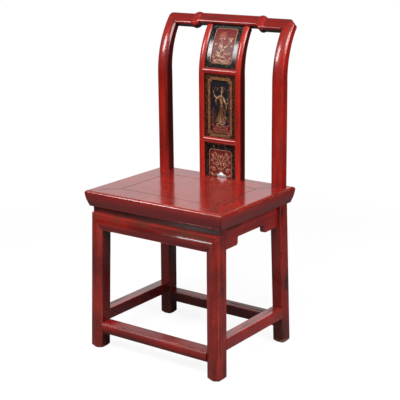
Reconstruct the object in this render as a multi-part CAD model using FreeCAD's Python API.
import FreeCAD, Part
import math
import os

# A lacquered side chair. X runs across, Y from front to back and Z up from the floor, in millimetres.
# Until the last step Y is measured from the front edge of the seat.

V = FreeCAD.Vector

# Seat frame
seat_height = 500.0
seat_width = 504.0
seat_depth = 392.0
seat_thickness = 50.0
seat_side_width = 83.2
seat_front_width = 77.1
seat_rear_width = 86.0
nose_round = 8.0
nose_belly = 3.0
nose_undercut = 9.0
nose_bead_height = 6.0
nose_bead_depth = 4.5

# Seat panel and its battens
panel_thickness = 16.0
panel_tongue_thickness = 7.0
panel_tongue_length = 9.0
panel_tongue_drop = 6.0
batten_width = 36.0
batten_depth = 18.0
batten_spread = 150.0
batten_tenon_length = 12.0
batten_tenon_shoulder = 4.0
batten_key_width = 18.0
batten_key_height = 4.0
batten_key_flare = 2.5

# Front legs
front_leg_width = 44.5
front_leg_depth = 48.0
front_leg_side_inset = 16.9
front_leg_face_inset = 4.5
front_leg_side_splay = 9.4
front_leg_face_splay = 14.4
front_crown = 4.5
front_leg_corner = 7.0

# Rear legs, and the posts that they become above the seat
rear_leg_width = 41.4
rear_leg_depth = 41.5
rear_leg_side_inset = 18.4
rear_leg_rear_inset = 11.6
rear_leg_side_splay = 10.2
rear_leg_rear_splay = 8.3
rear_leg_corner = 8.0
foot_ease = 6.0
post_width = 39.0
post_depth = 35.0
post_rear_inset = 5.4
post_round = 7.0
post_crown = 1.2

# Curve of the back and the crest rail
back_straight_height = 315.0
curve_radius = 276.1
curve_sections = 5
crest_line_height = 481.2
crest_depth = 27.0
crest_corner = 26.0
crest_round = 7.0
crest_rise = 4.5
crest_hollow = 4.0
ring_spread = 240.0
ring_length = 28.0
ring_proud = 3.0
ring_above = 7.0
ring_below = 2.5

# Splat
splat_width = 157.2
splat_setback = 9.1
splat_depth = 30.0
splat_top_depth = 21.0
stile_width = 21.6
stile_round = 4.0
stile_crown = 1.2
cross_rail_height = 21.0
upper_cross_rail_above_seat = 335.0
lower_cross_rail_above_seat = 117.5
cross_rail_round = 8.5
cross_rail_point = 7.0
cross_rail_point_depth = 8.0
splat_panel_setback = 7.5
splat_panel_thickness = 8.0
splat_panel_tongue = 3.0
field_sink = 2.0
field_margin = 15.0
upper_field_side_margin = 17.5
upper_field_foot_margin = 15.8
upper_field_head_margin = 10.0
lower_field_head_margin = 18.0
field_corner = 9.0
band_margin = 9.0
band_side_margin = 12.5
band_foot_margin = 3.0
band_width = 7.5
band_height = 2.5
band_notch = 7.0
arch_width = 42.0
arch_height = 16.5
arch_spring_shares = (1.0, 0.0)
arch_lobe_shares = (0.88, 0.42)
arch_cusp_shares = (0.5, 0.55)
arch_shoulder_shares = (0.33, 0.86)
arch_point_shares = (0.0, 1.0)

# Waist and aprons
waist_height = 18.0
waist_recess = 16.0
waist_thickness = 11.0
front_apron_height = 49.5
front_apron_thickness = 22.0
apron_thickness = 14.0
apron_inset = 12.5
apron_height = 46.5
bracket_height = 71.0
bracket_length = 76.0
bracket_round = 9.0
bracket_hollow = 5.0
apron_tongue_thickness = 8.0
apron_tongue_length = 6.0

# Stretchers
low_stretcher_bottom = 52.0
low_stretcher_height = 34.0
side_stretcher_step = 31.5
side_stretcher_height = 34.5
stretcher_inset = 0.5
stretcher_round = 4.0
stretcher_tenon_thickness = 12.0
stretcher_tenon_length = 26.0
stretcher_tenon_shoulder = 5.0

# Other tenons
leg_tenon_size = 12.0
leg_tenon_length = 32.0
mitre_tenon_thickness = 12.0
mitre_tenon_width = 16.0
mitre_tenon_wall = 26.0
mitre_tenon_shoulder = 6.0
crest_tenon_width = 14.0
crest_tenon_thickness = 8.0
crest_tenon_length = 10.0
stile_tenon_thickness = 9.0
stile_tenon_length = 14.0
cross_tenon_height = 7.0
cross_tenon_thickness = 6.0
cross_tenon_length = 12.0

# Fit and cutting allowances
joint_clearance = 0.2
overrun = 40.0

# Places that follow from the sizes above
seat_bottom = seat_height - seat_thickness
panel_half = seat_width / 2 - seat_side_width
panel_front = seat_front_width
panel_back = seat_depth - seat_rear_width
panel_bottom = seat_height - panel_thickness
front_leg_out = seat_width / 2 - front_leg_side_inset
rear_leg_out = seat_width / 2 - rear_leg_side_inset
rear_leg_back = seat_depth - rear_leg_rear_inset
post_out = rear_leg_out
post_in = post_out - post_width
post_front = rear_leg_back - post_rear_inset - post_depth
curve_start = seat_height + back_straight_height
crest_low = seat_height + crest_line_height
crest_half = post_width / 2
crest_mid = crest_low + crest_half
crest_angle = (crest_mid - curve_start) / curve_radius
crest_underside = crest_rise - crest_half + crest_hollow
apron_top = seat_bottom - waist_height
front_apron_bottom = apron_top - front_apron_height
splat_half = splat_width / 2
opening_half = splat_half - stile_width
splat_panel_front = splat_setback + splat_panel_setback
upper_cross_rail_centre = seat_height + upper_cross_rail_above_seat
lower_cross_rail_centre = seat_height + lower_cross_rail_above_seat
side_stretcher_bottom = low_stretcher_bottom + side_stretcher_step


def block(x0, x1, y0, y1, z0, z1):
    """A box between two corners."""
    return Part.makeBox(x1 - x0, y1 - y0, z1 - z0, V(x0, y0, z0))


def prism(points, direction):
    """A straight-sided solid: the closed outline through the points, pushed along the direction."""
    return Part.Face(Part.makePolygon(points + points[:1])).extrude(direction)


def line(start, end):
    """A straight edge."""
    return Part.LineSegment(start, end).toShape()


def arc(start, middle, end):
    """An arc through three points."""
    return Part.Arc(start, middle, end).toShape()


def corner_arc(start, corner, end):
    """A quarter round that starts and ends on the two sides of a square corner."""
    centre = start + end - corner
    return arc(start, centre + (corner - centre) * math.cos(math.pi / 4), end)


def solid_between(outlines):
    """The solid that runs straight from each outline to the next."""
    return Part.makeLoft(outlines, True, True)


def mirrored(shape):
    """The same piece on the other side of the chair."""
    return shape.mirror(V(0, 0, 0), V(1, 0, 0))


def both_sides(shape):
    """The piece and its mirror image, as two solids."""
    return [shape, mirrored(shape)]


def rounded_outline(at, u0, u1, v0, v1, radius, crown=0.0):
    """A rectangle with rounded corners, placed by at(u, v). Its u0 side can bulge by a crown."""
    side = u0 + crown
    edges = []
    if crown > 0:
        edges.append(arc(at(side, v0 + radius), at(u0, (v0 + v1) / 2), at(side, v1 - radius)))
    else:
        edges.append(line(at(side, v0 + radius), at(side, v1 - radius)))
    edges.append(corner_arc(at(side, v1 - radius), at(side, v1), at(side + radius, v1)))
    edges.append(line(at(side + radius, v1), at(u1 - radius, v1)))
    edges.append(corner_arc(at(u1 - radius, v1), at(u1, v1), at(u1, v1 - radius)))
    edges.append(line(at(u1, v1 - radius), at(u1, v0 + radius)))
    edges.append(corner_arc(at(u1, v0 + radius), at(u1, v0), at(u1 - radius, v0)))
    edges.append(line(at(u1 - radius, v0), at(side + radius, v0)))
    edges.append(corner_arc(at(side + radius, v0), at(side, v0), at(side, v0 + radius)))
    return Part.Wire(edges)


# Legs

def splayed(top, splay, z):
    """A place on a splayed leg at height z, from its place under the seat and its splay at the floor."""
    return top + splay * (seat_bottom - z) / seat_bottom


def front_leg_side(z):
    """Outer side of the right front leg."""
    return splayed(front_leg_out, front_leg_side_splay, z)


def front_leg_face(z):
    """Front of the front legs."""
    return splayed(front_leg_face_inset, -front_leg_face_splay, z)


def front_leg_rear(z):
    """Rear of the front legs."""
    return front_leg_face(z) + front_leg_depth


def rear_leg_side(z):
    """Outer side of the right rear leg."""
    return splayed(rear_leg_out, rear_leg_side_splay, z)


def rear_leg_rear(z):
    """Rear of the rear legs."""
    return splayed(rear_leg_back, rear_leg_rear_splay, z)


def rear_leg_front(z):
    """Front of the rear legs."""
    return rear_leg_rear(z) - rear_leg_depth


def leg_blank(side, width, face, depth, corner, crown):
    """A splayed leg on the right, with its foot eased all round, before any joint is cut."""
    outlines = []
    for z, inset in ((0.0, foot_ease), (foot_ease, 0.0), (seat_bottom, 0.0)):
        outlines.append(rounded_outline(
            lambda u, v, z=z: V(v, u, z),
            face(z) + inset, face(z) + depth - inset,
            side(z) - width + inset, side(z) - inset,
            corner, crown))
    return solid_between(outlines)


def front_leg_blank():
    """The right front leg, crowned on its front."""
    return leg_blank(front_leg_side, front_leg_width, front_leg_face, front_leg_depth,
                     front_leg_corner, front_crown)


def rear_leg_blank():
    """The right rear leg up to the seat."""
    return leg_blank(rear_leg_side, rear_leg_width, rear_leg_front, rear_leg_depth, rear_leg_corner, 0.0)


def waist_rear():
    """Rear face of the waist board."""
    return front_leg_face(seat_bottom) + waist_recess + waist_thickness


def front_leg_tenon(gap):
    """The tenon of the right front leg into the seat, or with a gap its mortise."""
    x_mid = front_leg_side(seat_bottom) - front_leg_width / 2
    y_mid = (waist_rear() + front_leg_rear(seat_bottom)) / 2
    half = leg_tenon_size / 2 + gap
    return block(x_mid - half, x_mid + half, y_mid - half, y_mid + half,
                 seat_bottom - leg_tenon_size, seat_bottom + leg_tenon_length + gap)


def front_leg():
    """The right front leg: notched for the waist, mitred to the front apron and tenoned into the seat."""
    inner = front_leg_side(seat_bottom) - front_leg_width
    notch = block(inner - overrun, inner + front_leg_width + overrun, -overrun, waist_rear(),
                  apron_top, seat_bottom + overrun)
    leg = front_leg_blank().cut(notch).cut(front_apron_wedge()).fuse(front_leg_tenon(0.0))
    leg = leg.cut(front_stretcher_tenons(joint_clearance)).cut(side_stretcher_tenons(joint_clearance))
    return leg.cut(side_apron_board(apron_tongue_thickness, apron_tongue_length, joint_clearance))


# The curve of the back

def back_point(depth, along, x):
    """A point of the back, by its depth behind the posts' front line and its distance along that line."""
    if along <= curve_start:
        return V(x, post_front + depth, along)
    angle = (along - curve_start) / curve_radius
    radius = curve_radius - depth
    return V(x, post_front + curve_radius - radius * math.cos(angle), curve_start + radius * math.sin(angle))


def back_line(depth, start, end, x):
    """The straight and the curved stretch of a line that follows the back at one depth."""
    edges = []
    if start < curve_start:
        edges.append(line(back_point(depth, start, x), back_point(depth, min(end, curve_start), x)))
    if end > curve_start:
        first = max(start, curve_start)
        middle = (first + end) / 2
        edges.append(arc(*[back_point(depth, along, x) for along in (first, middle, end)]))
    return edges


def back_board(depth0, depth1, start, end, x0, x1):
    """A board that follows the back between two depths, two distances along it and two sides."""
    edges = back_line(depth0, start, end, x0) + back_line(depth1, start, end, x0)
    edges.append(line(back_point(depth0, start, x0), back_point(depth1, start, x0)))
    edges.append(line(back_point(depth0, end, x0), back_point(depth1, end, x0)))
    return Part.Face(Part.Wire(Part.__sortEdges__(edges))).extrude(V(x1 - x0, 0, 0))


def depth_of(point):
    """How far a point lies behind the posts' front line."""
    if point.z <= curve_start:
        return point.y - post_front
    return curve_radius - math.hypot(point.y - post_front - curve_radius, point.z - curve_start)


def back_bar(section, start, end):
    """A bar that follows the back between two distances along it, thinning from behind as it bends.

    section(along, share) draws its outline. The share of the thinning is 0 where the bend starts
    and 1 where it meets the crest rail.
    """
    straight = Part.Face(section(start, 0.0)).extrude(V(0, 0, curve_start - start))
    step = (crest_low - curve_start) / curve_sections
    outlines = [section(curve_start + number * step, number / curve_sections)
                for number in range(curve_sections + 1)]
    thinned = Part.makeLoft(outlines, True, False)
    centre = V(0, post_front + curve_radius, curve_start)
    turn = math.degrees((end - crest_low) / curve_radius)
    even = Part.Face(section(crest_low, 1.0)).revolve(centre, V(-1, 0, 0), turn)
    return straight.fuse([thinned, even]).removeSplitter()


def depth_at(full, thinned, share):
    """Depth of a piece of the back where a share of its thinning is done."""
    return full + (thinned - full) * share


def in_crest_frame(shape):
    """Leans a piece drawn upright, with Z from the crest rail's mid line and Y as depth, into its place."""
    placed = shape.copy()
    lean = FreeCAD.Rotation(V(1, 0, 0), -math.degrees(crest_angle))
    placed.Placement = FreeCAD.Placement(back_point(0, crest_mid, 0), lean).multiply(placed.Placement)
    return placed


def mitre_side():
    """All that lies on the crest rail's side of the mitre with the right post, in the rail's frame."""
    low = -crest_half - overrun
    high = crest_half + overrun
    points = [
        V(0, -overrun, low),
        V(post_in - overrun, -overrun, low),
        V(post_out + overrun, -overrun, high),
        V(post_out + overrun, -overrun, high + overrun),
        V(0, -overrun, high + overrun),
    ]
    return prism(points, V(0, crest_depth + 2 * overrun, 0))


def crest_corner_waste():
    """What is cut away to round the upper outer corner of the back, in the rail's frame."""
    x_mid = post_out - crest_corner
    z_mid = crest_half - crest_corner
    square = block(x_mid, post_out + overrun, -overrun, crest_depth + overrun, z_mid, crest_half + overrun)
    start = V(x_mid, -overrun - crest_corner, z_mid)
    return square.cut(Part.makeCylinder(crest_corner, crest_depth + 3 * overrun, start, V(0, 1, 0)))


def crest_tenon(gap):
    """The tenon of the right post into the crest rail, or with a gap its mortise, in the rail's frame."""
    x_mid = (post_in + post_out) / 2
    y_mid = crest_depth / 2
    width = crest_tenon_width / 2 + gap
    thick = crest_tenon_thickness / 2 + gap
    return block(x_mid - width, x_mid + width, y_mid - thick, y_mid + thick,
                 -crest_half, crest_tenon_length + gap)


def stile_tenon(gap):
    """The right splat stile's tenon into the crest rail, or with a gap its mortise, in the rail's frame."""
    y_mid = (splat_setback + crest_depth) / 2
    thick = stile_tenon_thickness / 2 + gap
    inset = stile_round - gap
    return block(opening_half + inset, splat_half - inset, y_mid - thick, y_mid + thick,
                 crest_underside - stile_tenon_length, crest_underside + stile_tenon_length + gap)


def crest_outline(x, low, high, proud):
    """Section of the crest rail at one place across, in the rail's frame."""
    return rounded_outline(lambda u, v: V(x, u, v), -proud, crest_depth + proud, low, high,
                           crest_round + proud)


def crest_rail():
    """The crest rail: two outer lengths, a raised middle and two swelling rings, mitred to the posts."""
    ring_mid = ring_spread / 2
    ring_in = ring_mid - ring_length / 2
    ring_out = ring_mid + ring_length / 2
    outer = (-crest_half, crest_half, 0.0)
    middle = (crest_underside, crest_rise + crest_half, 0.0)
    swell = (-crest_half - ring_below, crest_half + ring_above, ring_proud)
    centre = solid_between([crest_outline(-ring_in, *middle), crest_outline(ring_in, *middle)])
    ring = Part.makeLoft(
        [crest_outline(ring_in, *middle), crest_outline(ring_mid, *swell), crest_outline(ring_out, *outer)],
        True, False)
    end = solid_between([crest_outline(ring_out, *outer), crest_outline(post_out, *outer)])
    end = end.common(mitre_side()).cut(crest_corner_waste()).cut(crest_tenon(joint_clearance))
    rail = centre.fuse(both_sides(ring) + both_sides(end)).removeSplitter()
    for mortise in both_sides(stile_tenon(joint_clearance)):
        rail = rail.cut(mortise)
    return in_crest_frame(rail).cut(upper_panel_board(joint_clearance))


def post_outline(along, share, gap=0.0):
    """Section of the right post at a place along the back, or of the hole for it with a gap."""
    rear = depth_at(post_depth, crest_depth, share) + gap
    return rounded_outline(lambda u, v: back_point(u, along, v), -gap, rear,
                           post_in - gap, post_out + gap, post_round, post_crown)


def rear_post():
    """The right rear leg and post in one length: splayed under the seat, bent back above it."""
    bar = back_bar(post_outline, seat_bottom, crest_mid + crest_half + overrun)
    bar = bar.cut(in_crest_frame(mitre_side())).cut(in_crest_frame(crest_corner_waste()))
    post = rear_leg_blank().fuse([bar, in_crest_frame(crest_tenon(0.0))]).removeSplitter()
    post = post.cut(rear_stretcher_tenons(joint_clearance)).cut(side_stretcher_tenons(joint_clearance))
    post = post.cut(side_apron_board(apron_tongue_thickness, apron_tongue_length, joint_clearance))
    return post.cut(rear_apron_board(apron_tongue_thickness, apron_tongue_length, joint_clearance))


# Seat

def seat_corners():
    """Plan corners of the seat and of its panel, round from the front left."""
    half = seat_width / 2
    outer = [V(-half, 0, 0), V(half, 0, 0), V(half, seat_depth, 0), V(-half, seat_depth, 0)]
    inner = [V(-panel_half, panel_front, 0), V(panel_half, panel_front, 0),
             V(panel_half, panel_back, 0), V(-panel_half, panel_back, 0)]
    return outer, inner


def nose_outline(at, reach):
    """Section of a seat rail inwards from its nose: a round top edge, a long undercut and a small bead."""
    bead_top = seat_bottom + nose_bead_height
    bead_end = nose_undercut + nose_bead_depth
    quarter_bulge = 1 - math.cos(math.pi / 4)
    bead_middle = nose_undercut + nose_bead_depth * quarter_bulge
    bead_rise = seat_bottom + nose_bead_height * quarter_bulge
    widest = seat_height - nose_round
    edges = [
        corner_arc(at(nose_round, seat_height), at(0, seat_height), at(0, widest)),
        arc(at(0, widest), at(nose_belly, (widest + bead_top) / 2), at(nose_undercut, bead_top)),
        arc(at(nose_undercut, bead_top), at(bead_middle, bead_rise), at(bead_end, seat_bottom)),
        line(at(bead_end, seat_bottom), at(reach, seat_bottom)),
        line(at(reach, seat_bottom), at(reach, seat_height)),
        line(at(reach, seat_height), at(nose_round, seat_height)),
    ]
    return Part.Face(Part.Wire(edges))


def seat_rail(side, reach):
    """One mitred member of the seat frame with its panel groove. Side 0 is the front, 1 the right, etc."""
    outer, inner = seat_corners()
    start = outer[side]
    end = outer[(side + 1) % 4]
    along = end - start
    inwards = V(-along.y, along.x, 0).normalize()
    bar = nose_outline(lambda t, z: start + inwards * t + V(0, 0, z), reach).extrude(along)
    corners = []
    for number in (side, (side + 1) % 4):
        mitre = (outer[number] - inner[number]).normalize() * overrun
        corners.append((outer[number] + mitre, inner[number] - mitre))
    (outer0, inner0), (outer1, inner1) = corners
    wedge = prism([outer0, outer1, inner1, inner0], V(0, 0, seat_height + overrun))
    return bar.common(wedge).cut(panel_tongue(joint_clearance))


def panel_tongue(gap):
    """The tongue all round the seat panel, or with a gap the groove that it runs in."""
    reach = panel_tongue_length + gap
    top = seat_height - panel_tongue_drop + gap
    return block(-panel_half - reach, panel_half + reach, panel_front - reach, panel_back + reach,
                 top - panel_tongue_thickness - 2 * gap, top)


def frame_tenon(at_front, gap):
    """The right tenon of the front or rear seat rail, or with a gap its mortise in the side rail."""
    if at_front:
        y1 = panel_front - mitre_tenon_shoulder
        y0 = y1 - mitre_tenon_width
    else:
        y0 = panel_back + mitre_tenon_shoulder
        y1 = y0 + mitre_tenon_width
    z_mid = (seat_bottom + panel_bottom) / 2
    thick = mitre_tenon_thickness / 2 + gap
    tip = seat_width / 2 - mitre_tenon_wall + gap
    return block(panel_half, tip, y0 - gap, y1 + gap, z_mid - thick, z_mid + thick)


def long_seat_rail(side, reach, at_front):
    """The front or rear rail of the seat, which carries the tenons of the mitred corners."""
    rail = seat_rail(side, reach)
    for tenon in both_sides(frame_tenon(at_front, 0.0)):
        rail = rail.fuse(tenon)
    rail = rail.removeSplitter()
    for x_mid in (-batten_spread / 2, batten_spread / 2):
        rail = rail.cut(batten_tenons(x_mid, joint_clearance))
    return rail


def seat_front_rail():
    """The front rail of the seat."""
    rail = long_seat_rail(0, seat_front_width, True)
    for mortise in both_sides(front_leg_tenon(joint_clearance)):
        rail = rail.cut(mortise)
    return rail


def seat_rear_rail():
    """The rear rail of the seat, with the posts and the splat through and in it."""
    rail = long_seat_rail(2, seat_rear_width, False)
    for mortise in both_sides(post_hole()) + both_sides(stile_foot(joint_clearance)):
        rail = rail.cut(mortise)
    return rail.cut(lower_panel_board(joint_clearance))


def seat_right_rail():
    """The right rail of the seat, mortised for both long rails, a front leg and a post."""
    rail = seat_rail(1, seat_side_width)
    rail = rail.cut(frame_tenon(True, joint_clearance)).cut(frame_tenon(False, joint_clearance))
    return rail.cut(front_leg_tenon(joint_clearance)).cut(post_hole())


def post_hole():
    """The hole through the seat for the right post."""
    heights = (seat_bottom - overrun, seat_height + overrun)
    return solid_between([post_outline(z, 0.0, joint_clearance) for z in heights])


def seat_panel():
    """The floating panel, flush with the frame, tongued all round and keyed to its two battens."""
    gap = joint_clearance
    side = panel_half - gap
    panel = block(-side, side, panel_front + gap, panel_back - gap, panel_bottom, seat_height)
    panel = panel.fuse(panel_tongue(0.0)).removeSplitter()
    for x_mid in (-batten_spread / 2, batten_spread / 2):
        panel = panel.cut(batten_key(x_mid, joint_clearance))
    return panel


def batten_key(x_mid, gap):
    """The dovetail key on top of a batten, or with a gap its housing under the panel."""
    half = batten_key_width / 2 + gap
    top = panel_bottom + batten_key_height + gap
    points = [
        V(x_mid - half, panel_front, panel_bottom),
        V(x_mid + half, panel_front, panel_bottom),
        V(x_mid + half + batten_key_flare, panel_front, top),
        V(x_mid - half - batten_key_flare, panel_front, top),
    ]
    return prism(points, V(0, panel_back - panel_front, 0))


def batten_tenons(x_mid, gap):
    """The tenons at both ends of a batten as one length, or with a gap their mortises."""
    half = batten_width / 2 - batten_tenon_shoulder + gap
    reach = batten_tenon_length + gap
    return block(x_mid - half, x_mid + half, panel_front - reach, panel_back + reach,
                 panel_bottom - batten_depth + batten_tenon_shoulder - gap,
                 panel_bottom - batten_tenon_shoulder + gap)


def seat_batten():
    """The right batten under the panel, tenoned into the front and rear rails."""
    x_mid = batten_spread / 2
    bar = block(x_mid - batten_width / 2, x_mid + batten_width / 2, panel_front, panel_back,
                panel_bottom - batten_depth, panel_bottom)
    key = batten_key(x_mid, 0.0).common(block(
        x_mid - batten_width, x_mid + batten_width,
        panel_front + joint_clearance, panel_back - joint_clearance, panel_bottom, seat_height))
    return bar.fuse([batten_tenons(x_mid, 0.0), key]).removeSplitter()


# Splat

def stile_foot(gap):
    """The stub tenon of the right splat stile into the seat, or with a gap its mortise."""
    y_mid = post_front + splat_setback + splat_depth / 2
    thick = stile_tenon_thickness / 2 + gap
    inset = stile_round - gap
    return block(opening_half + inset, splat_half - inset, y_mid - thick, y_mid + thick,
                 seat_height - stile_tenon_length - gap, seat_height + stile_tenon_length)


def stile_outline(along, share):
    """Section of the right splat stile at a place along the back, crowned in front."""
    return rounded_outline(lambda u, v: back_point(u, along, v), splat_setback,
                           splat_setback + depth_at(splat_depth, splat_top_depth, share),
                           opening_half, splat_half, stile_round, stile_crown)


def splat_stile():
    """The right stile of the splat, following the back from the seat to the crest rail."""
    bar = back_bar(stile_outline, seat_height, crest_low + overrun)
    above = block(-splat_width, splat_width, -overrun, splat_depth + overrun,
                  crest_underside, crest_underside + 3 * overrun)
    bar = bar.cut(in_crest_frame(above))
    stile = bar.fuse([in_crest_frame(stile_tenon(0.0)), stile_foot(0.0)]).removeSplitter()
    for centre in (lower_cross_rail_centre, upper_cross_rail_centre):
        stile = stile.cut(cross_rail_body(centre)).cut(cross_rail_tenons(centre, joint_clearance))
    for panel in (lower_panel_board, middle_panel_board, upper_panel_board):
        stile = stile.cut(panel(joint_clearance))
    return stile


def cross_rail_body(centre):
    """A cross rail of the splat without tenons: a half-round bar whose front runs to a point at each end."""
    half = cross_rail_height / 2
    tip = opening_half + cross_rail_point
    front = splat_setback
    bar = back_board(front, front + splat_depth - stile_round / 2, centre - half, centre + half, -tip, tip)
    bar = bar.makeFillet(cross_rail_round, [edge for edge in bar.Edges if runs_across(edge, front)])
    y_front = back_point(front, centre - half, 0).y - overrun
    y_point = back_point(front, centre, 0).y + cross_rail_point_depth
    outline = [
        V(-tip, y_front, centre),
        V(-opening_half, y_front, centre - half),
        V(opening_half, y_front, centre - half),
        V(tip, y_front, centre),
        V(opening_half, y_front, centre + half),
        V(-opening_half, y_front, centre + half),
    ]
    pointed = prism(outline, V(0, y_point - y_front, 0))
    square = block(-opening_half, opening_half, y_front, y_point + splat_depth,
                   centre - overrun, centre + overrun)
    return bar.common(pointed.fuse(square))


def runs_across(edge, depth):
    """Whether an edge runs straight across the chair at a depth of the back."""
    first = edge.Vertexes[0].Point
    last = edge.Vertexes[-1].Point
    near = joint_clearance / 2
    return abs(depth_of(first) - depth) < near and abs(depth_of(last) - depth) < near < abs(first.x - last.x)


def cross_rail_tenons(centre, gap):
    """Both tenons of a cross rail as one length, or with a gap their mortises."""
    depth = splat_setback + splat_depth - stile_round - cross_tenon_thickness / 2
    y_mid = back_point(depth, centre, 0).y
    z_mid = back_point(depth, centre, 0).z
    high = cross_tenon_height / 2 + gap
    thick = cross_tenon_thickness / 2 + gap
    reach = opening_half + cross_tenon_length + gap
    return block(-reach, reach, y_mid - thick, y_mid + thick, z_mid - high, z_mid + high)


def cross_rail(centre, panel_above, panel_below):
    """A cross rail of the splat, grooved for the panels above and below it."""
    rail = cross_rail_body(centre).fuse(cross_rail_tenons(centre, 0.0)).removeSplitter()
    return rail.cut(panel_above(joint_clearance)).cut(panel_below(joint_clearance))


def splat_board(start, end, gap):
    """A panel of the splat from one distance along the back to another, or with a gap its grooves.

    The panel stands on the foot of its groove and bears against the front of it, so there is no gap there.
    """
    side = opening_half + splat_panel_tongue + gap
    return back_board(splat_panel_front, splat_panel_front + splat_panel_thickness + gap,
                      start - splat_panel_tongue, end + splat_panel_tongue + gap, -side, side)


def lower_panel_board(gap):
    """The lowest panel of the splat before its carving."""
    return splat_board(seat_height, lower_cross_rail_centre - cross_rail_height / 2, gap)


def middle_panel_board(gap):
    """The tall middle panel of the splat before its carving."""
    half = cross_rail_height / 2
    return splat_board(lower_cross_rail_centre + half, upper_cross_rail_centre - half, gap)


def upper_panel_board(gap):
    """The curved upper panel of the splat before its carving."""
    return splat_board(upper_cross_rail_centre + cross_rail_height / 2, crest_mid + crest_underside, gap)


def sunk_field(low, high, margin):
    """A shallow field with rounded corners, to sink into a panel between two distances along the back."""
    side = opening_half - margin
    front = splat_panel_front - field_margin
    field = back_board(front, splat_panel_front + field_sink, low, high, -side, side)
    upright = []
    for edge in field.Edges:
        first = edge.Vertexes[0].Point
        last = edge.Vertexes[-1].Point
        if abs(depth_of(first) - depth_of(last)) > field_sink:
            upright.append(edge)
    return field.makeFillet(field_corner, upright)


def upper_panel():
    """The curved upper panel with its sunk field."""
    low = upper_cross_rail_centre + cross_rail_height / 2 + upper_field_foot_margin
    high = crest_mid + crest_underside - upper_field_head_margin
    return upper_panel_board(0.0).cut(sunk_field(low, high, upper_field_side_margin))


def notched_outline(margin):
    """Outline of the middle panel's raised band at one margin: a rectangle with its corners stepped in."""
    x1 = opening_half - band_side_margin - (margin - band_margin)
    z0 = lower_cross_rail_centre + cross_rail_height / 2 + band_foot_margin + (margin - band_margin)
    z1 = upper_cross_rail_centre - cross_rail_height / 2 - margin
    y = post_front + splat_panel_front - band_height
    n = band_notch
    right = [V(x1 - n, y, z0), V(x1 - n, y, z0 + n), V(x1, y, z0 + n),
             V(x1, y, z1 - n), V(x1 - n, y, z1 - n), V(x1 - n, y, z1)]
    left = [V(-point.x, y, point.z) for point in reversed(right)]
    return right + left


def middle_panel():
    """The middle panel: a raised band with stepped corners round a sunk field."""
    board = middle_panel_board(0.0)
    rise = V(0, band_height + field_sink, 0)
    board = board.fuse(prism(notched_outline(band_margin), rise)).removeSplitter()
    return board.cut(prism(notched_outline(band_margin + band_width), rise))


def arch_outline():
    """The cusped arch at the foot of the lower panel: two lobes on each side that meet in a point."""
    foot = seat_height - splat_panel_tongue - joint_clearance
    half = arch_width / 2

    def at(side, shares):
        return V(side * half * shares[0], post_front, seat_height + arch_height * shares[1])

    edges = [line(V(-half, post_front, foot), V(half, post_front, foot))]
    for side in (-1, 1):
        spring = at(side, arch_spring_shares)
        cusp = at(side, arch_cusp_shares)
        edges.append(line(V(side * half, post_front, foot), spring))
        edges.append(arc(spring, at(side, arch_lobe_shares), cusp))
        edges.append(arc(cusp, at(side, arch_shoulder_shares), at(side, arch_point_shares)))
    return Part.Face(Part.Wire(Part.__sortEdges__(edges)))


def lower_panel():
    """The lowest panel with its sunk field, open at the seat, and the arch that opens over the seat."""
    top = lower_cross_rail_centre - cross_rail_height / 2
    field = sunk_field(seat_height - overrun, top - lower_field_head_margin, field_margin)
    arch = arch_outline().extrude(V(0, splat_panel_front + splat_panel_thickness + overrun, 0))
    return lower_panel_board(0.0).cut(field).cut(arch)


# Waist and aprons

def front_waist():
    """The plain recessed strip between the seat and the front apron."""
    side = front_leg_side(seat_bottom)
    return block(-side, side, waist_rear() - waist_thickness, waist_rear(), apron_top, seat_bottom)


def apron_prism(sides):
    """The space of the front apron between sloping sides, given as (x, z) corners, as deep as its board."""
    points = [V(x, front_leg_face(z) - overrun, z) for x, z in sides]
    return prism(points, V(0, overrun + front_apron_thickness, 0))


def front_apron_wedge():
    """The mitred end of the front apron that lies in the right front leg."""
    inner_low = front_leg_side(front_apron_bottom) - front_leg_width
    inner_high = front_leg_side(apron_top) - front_leg_width
    return apron_prism([(inner_low, front_apron_bottom), (front_leg_side(apron_top), apron_top),
                        (inner_high - overrun, apron_top), (inner_low - overrun, front_apron_bottom)])


def front_apron():
    """The front apron: crowned like the legs, its ends mitred over them."""
    inner_low = front_leg_side(front_apron_bottom) - front_leg_width
    outer_high = front_leg_side(apron_top)
    length = 2 * (outer_high + overrun)

    def at(u, v):
        return V(-outer_high - overrun, front_leg_face(v) + u, v)

    edges = [
        arc(at(front_crown, front_apron_bottom), at(0, (front_apron_bottom + apron_top) / 2),
            at(front_crown, apron_top)),
        line(at(front_crown, apron_top), at(front_apron_thickness, apron_top)),
        line(at(front_apron_thickness, apron_top), at(front_apron_thickness, front_apron_bottom)),
        line(at(front_apron_thickness, front_apron_bottom), at(front_crown, front_apron_bottom)),
    ]
    bar = Part.Face(Part.Wire(edges)).extrude(V(length, 0, 0))
    board = bar.common(apron_prism([(-inner_low, front_apron_bottom), (inner_low, front_apron_bottom),
                                    (outer_high, apron_top), (-outer_high, apron_top)]))
    leg_middle = outer_high - front_leg_width / 2
    outside = block(leg_middle, outer_high + overrun, -overrun, front_leg_depth + overrun,
                    front_apron_bottom - overrun, apron_top + overrun).cut(front_leg_blank())
    for waste in both_sides(outside):
        board = board.cut(waste)
    return board


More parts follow.
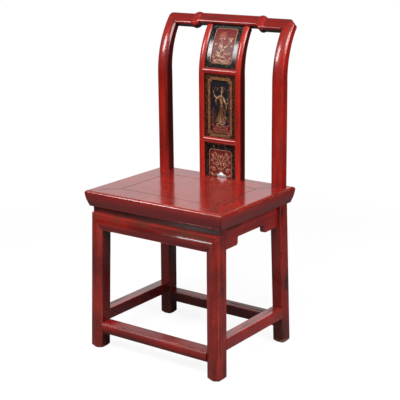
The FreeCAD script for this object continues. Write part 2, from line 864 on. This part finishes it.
def bracketed_outline(at, start, end, reach):
    """A board with a bracket at each end. Its ends follow start(z) and end(z), lengthened by a reach."""
    low = seat_bottom - apron_height
    foot = seat_bottom - bracket_height
    first = start(foot) + bracket_length
    last = end(foot) - bracket_length
    edges = [
        line(at(start(seat_bottom) - reach, seat_bottom), at(end(seat_bottom) + reach, seat_bottom)),
        line(at(end(seat_bottom) + reach, seat_bottom), at(end(foot) + reach, foot)),
        line(at(end(foot) + reach, foot), at(last + bracket_round, foot)),
        corner_arc(at(last + bracket_round, foot), at(last, foot), at(last, foot + bracket_round)),
        line(at(last, foot + bracket_round), at(last, low - bracket_hollow)),
        corner_arc(at(last, low - bracket_hollow), at(last, low), at(last - bracket_hollow, low)),
        line(at(last - bracket_hollow, low), at(first + bracket_hollow, low)),
        corner_arc(at(first + bracket_hollow, low), at(first, low), at(first, low - bracket_hollow)),
        line(at(first, low - bracket_hollow), at(first, foot + bracket_round)),
        corner_arc(at(first, foot + bracket_round), at(first, foot), at(first - bracket_round, foot)),
        line(at(first - bracket_round, foot), at(start(foot) - reach, foot)),
        line(at(start(foot) - reach, foot), at(start(seat_bottom) - reach, seat_bottom)),
    ]
    return Part.Face(Part.Wire(edges))


def side_apron_board(thickness, reach, gap):
    """The right apron's board at one thickness, its ends lengthened into the legs by a reach."""
    x_mid = rear_leg_out - apron_inset - apron_thickness / 2
    x0 = x_mid - thickness / 2 - gap
    outline = bracketed_outline(lambda s, z: V(x0, s, z), front_leg_rear, rear_leg_front, reach + gap)
    return outline.extrude(V(thickness + 2 * gap, 0, 0))


def side_apron():
    """The right apron under the seat, with its brackets and the tongues that run into the legs."""
    board = side_apron_board(apron_thickness, 0.0, 0.0)
    return board.fuse(side_apron_board(apron_tongue_thickness, apron_tongue_length, 0.0)).removeSplitter()


def rear_apron_board(thickness, reach, gap):
    """The rear apron's board at one thickness, its ends lengthened into the legs by a reach."""
    y_mid = rear_leg_back - apron_inset - apron_thickness / 2
    y0 = y_mid - thickness / 2 - gap

    def end(z):
        return rear_leg_side(z) - rear_leg_width

    def start(z):
        return -end(z)

    outline = bracketed_outline(lambda s, z: V(s, y0, z), start, end, reach + gap)
    return outline.extrude(V(0, thickness + 2 * gap, 0))


def rear_apron():
    """The rear apron, like the side ones."""
    board = rear_apron_board(apron_thickness, 0.0, 0.0)
    return board.fuse(rear_apron_board(apron_tongue_thickness, apron_tongue_length, 0.0)).removeSplitter()


# Stretchers

def low_stretcher_tenons(side, width, y_mid, gap):
    """Both tenons of a stretcher across the chair as one length, or with a gap their mortises."""
    low = low_stretcher_bottom + stretcher_tenon_shoulder - gap
    high = low_stretcher_bottom + low_stretcher_height - stretcher_tenon_shoulder + gap
    reach = side(low) - width + stretcher_tenon_length + gap
    thick = stretcher_tenon_thickness / 2 + gap
    return block(-reach, reach, y_mid - thick, y_mid + thick, low, high)


def low_stretcher_bar(side, width, face, depth, crown):
    """A stretcher across the chair without its tenons, as deep as the legs that it joins."""
    low = low_stretcher_bottom
    high = low + low_stretcher_height
    y0 = face(high) + stretcher_inset
    y1 = face(low) + depth - stretcher_inset
    outer = side(low)
    outline = rounded_outline(lambda u, v: V(-outer, u, v), y0, y1, low, high, stretcher_round, crown)
    bar = Part.Face(outline).extrude(V(2 * outer, 0, 0))
    inner_low = side(low) - width
    inner_high = side(high) - width
    ends = [V(-inner_low, y0 - overrun, low), V(inner_low, y0 - overrun, low),
            V(inner_high, y0 - overrun, high), V(-inner_high, y0 - overrun, high)]
    between = prism(ends, V(0, depth + 2 * overrun, 0))
    return bar.common(between)


def stretcher_middle(face, depth):
    """Mid depth of a stretcher across the chair."""
    return (face(low_stretcher_bottom + low_stretcher_height) + face(low_stretcher_bottom) + depth) / 2


def front_stretcher_tenons(gap):
    """The tenons of the front stretcher, or with a gap their mortises."""
    y_mid = stretcher_middle(front_leg_face, front_leg_depth)
    return low_stretcher_tenons(front_leg_side, front_leg_width, y_mid, gap)


def rear_stretcher_tenons(gap):
    """The tenons of the rear stretcher, or with a gap their mortises."""
    y_mid = stretcher_middle(rear_leg_front, rear_leg_depth)
    return low_stretcher_tenons(rear_leg_side, rear_leg_width, y_mid, gap)


def front_stretcher():
    """The front stretcher, crowned like the legs."""
    bar = low_stretcher_bar(front_leg_side, front_leg_width, front_leg_face, front_leg_depth, front_crown)
    return bar.fuse(front_stretcher_tenons(0.0)).removeSplitter()


def rear_stretcher():
    """The rear stretcher."""
    bar = low_stretcher_bar(rear_leg_side, rear_leg_width, rear_leg_front, rear_leg_depth, 0.0)
    return bar.fuse(rear_stretcher_tenons(0.0)).removeSplitter()


def side_stretcher_span():
    """The two sides of the right stretcher, flush with the narrower leg."""
    low = side_stretcher_bottom
    outer = min(front_leg_side(low + side_stretcher_height), rear_leg_side(low + side_stretcher_height))
    inner = max(front_leg_side(low) - front_leg_width, rear_leg_side(low) - rear_leg_width)
    return inner + stretcher_inset, outer - stretcher_inset


def side_stretcher_tenons(gap):
    """Both tenons of the right stretcher as one length, or with a gap their mortises."""
    x0, x1 = side_stretcher_span()
    thick = stretcher_tenon_thickness / 2 + gap
    low = side_stretcher_bottom + stretcher_tenon_shoulder - gap
    high = side_stretcher_bottom + side_stretcher_height - stretcher_tenon_shoulder + gap
    return block((x0 + x1) / 2 - thick, (x0 + x1) / 2 + thick,
                 front_leg_rear(low) - stretcher_tenon_length - gap,
                 rear_leg_front(low) + stretcher_tenon_length + gap, low, high)


def side_stretcher():
    """The right stretcher, a step above the front and rear ones."""
    x0, x1 = side_stretcher_span()
    low = side_stretcher_bottom
    high = low + side_stretcher_height
    outline = rounded_outline(lambda u, v: V(u, 0, v), x0, x1, low, high, stretcher_round)
    bar = Part.Face(outline).extrude(V(0, rear_leg_rear(low), 0))
    ends = [V(x0 - overrun, front_leg_rear(low), low), V(x0 - overrun, rear_leg_front(low), low),
            V(x0 - overrun, rear_leg_front(high), high), V(x0 - overrun, front_leg_rear(high), high)]
    between = prism(ends, V(x1 - x0 + 2 * overrun, 0, 0))
    return bar.common(between).fuse(side_stretcher_tenons(0.0)).removeSplitter()


# The whole chair

def pairs():
    """Pieces that the chair has once on each side, modelled on the right."""
    return {
        "front_{}_leg": front_leg(),
        "rear_{}_post": rear_post(),
        "seat_{}_rail": seat_right_rail(),
        "seat_{}_batten": seat_batten(),
        "splat_{}_stile": splat_stile(),
        "{}_apron": side_apron(),
        "{}_stretcher": side_stretcher(),
    }


def singles():
    """Pieces that lie across the middle of the chair."""
    return {
        "crest_rail": crest_rail(),
        "seat_front_rail": seat_front_rail(),
        "seat_rear_rail": seat_rear_rail(),
        "seat_panel": seat_panel(),
        "front_waist": front_waist(),
        "front_apron": front_apron(),
        "rear_apron": rear_apron(),
        "front_stretcher": front_stretcher(),
        "rear_stretcher": rear_stretcher(),
        "splat_upper_rail": cross_rail(upper_cross_rail_centre, upper_panel_board, middle_panel_board),
        "splat_lower_rail": cross_rail(lower_cross_rail_centre, middle_panel_board, lower_panel_board),
        "splat_upper_panel": upper_panel(),
        "splat_middle_panel": middle_panel(),
        "splat_lower_panel": lower_panel(),
    }


def main():
    """Builds every piece, centres the chair from front to back and writes one file for each piece."""
    pieces = singles()
    for name, shape in pairs().items():
        pieces[name.format("right")] = shape
        pieces[name.format("left")] = mirrored(shape)
    whole = Part.makeCompound(list(pieces.values())).optimalBoundingBox()
    shift = -(whole.YMin + whole.YMax) / 2
    os.makedirs("parts", exist_ok=True)
    for name, shape in sorted(pieces.items()):
        shape.translate(V(0, shift, 0))
        shape.exportStep("parts/" + name + ".step")
        print(name, len(shape.Solids), "solid", shape.isValid(), round(shape.Volume / 1000, 1), "cm3")
    print("width", round(whole.XLength, 2), "depth", round(whole.YLength, 2))
    print("height", round(whole.ZLength, 2))
    print("shift of Y", round(shift, 3))


main()
